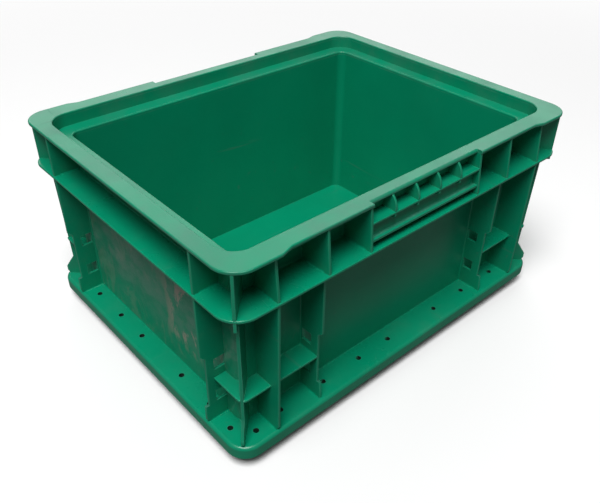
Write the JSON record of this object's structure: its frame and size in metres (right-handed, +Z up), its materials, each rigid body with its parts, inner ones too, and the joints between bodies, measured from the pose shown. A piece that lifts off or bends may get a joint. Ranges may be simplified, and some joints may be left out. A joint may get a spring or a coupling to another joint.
{
  "type": "stacking plastic crate",
  "caption": "Open-top stacking crate of ribbed moulded plastic with finger grips under the long rims, a drained base flange and a foot that drops into the rim below.",
  "frame": {"origin": "on the ground under the middle of the floor", "axes": "+X along the crate's length, +Y across its width from the front long wall to the back one, +Z up"},
  "size_m": [0.38, 0.3, 0.19],
  "materials": {
    "crate_green": "satin, self-coloured emerald green, scuffed outside"
  },
  "bodies": {
    "root": {"corner_fins_lower": "crate_green", "corner_fins_upper": "crate_green", "corner_gussets": "crate_green", "finger_ribs_back": "crate_green", "finger_ribs_front": "crate_green", "flange_back": "crate_green", "flange_corners": "crate_green", "flange_front": "crate_green", "flange_left": "crate_green", "flange_right": "crate_green", "floor_panel": "crate_green", "foot_back": "crate_green", "foot_corners": "crate_green", "foot_front": "crate_green", "foot_left": "crate_green", "foot_right": "crate_green", "grip_floor_back": "crate_green", "grip_floor_front": "crate_green", "label_holder_back": "crate_green", "label_holder_front": "crate_green", "ledge_back": "crate_green", "ledge_corners": "crate_green", "ledge_front": "crate_green", "ledge_left": "crate_green", "ledge_right": "crate_green", "lower_ribs_back": "crate_green", "lower_ribs_front": "crate_green", "lower_ribs_left": "crate_green", "lower_ribs_right": "crate_green", "rim_back": "crate_green", "rim_corners": "crate_green", "rim_front": "crate_green", "rim_left": "crate_green", "rim_right": "crate_green", "shelf_back": "crate_green", "shelf_corners": "crate_green", "shelf_front": "crate_green", "shelf_left": "crate_green", "shelf_right": "crate_green", "side_gussets": "crate_green", "step_wall_back": "crate_green", "step_wall_corners": "crate_green", "step_wall_front": "crate_green", "step_wall_left": "crate_green", "step_wall_right": "crate_green", "upper_ribs_back": "crate_green", "upper_ribs_front": "crate_green", "upper_ribs_left": "crate_green", "upper_ribs_right": "crate_green", "wall_back": "crate_green", "wall_corners": "crate_green", "wall_front": "crate_green", "wall_left": "crate_green", "wall_right": "crate_green"}
  },
  "joints": []
}
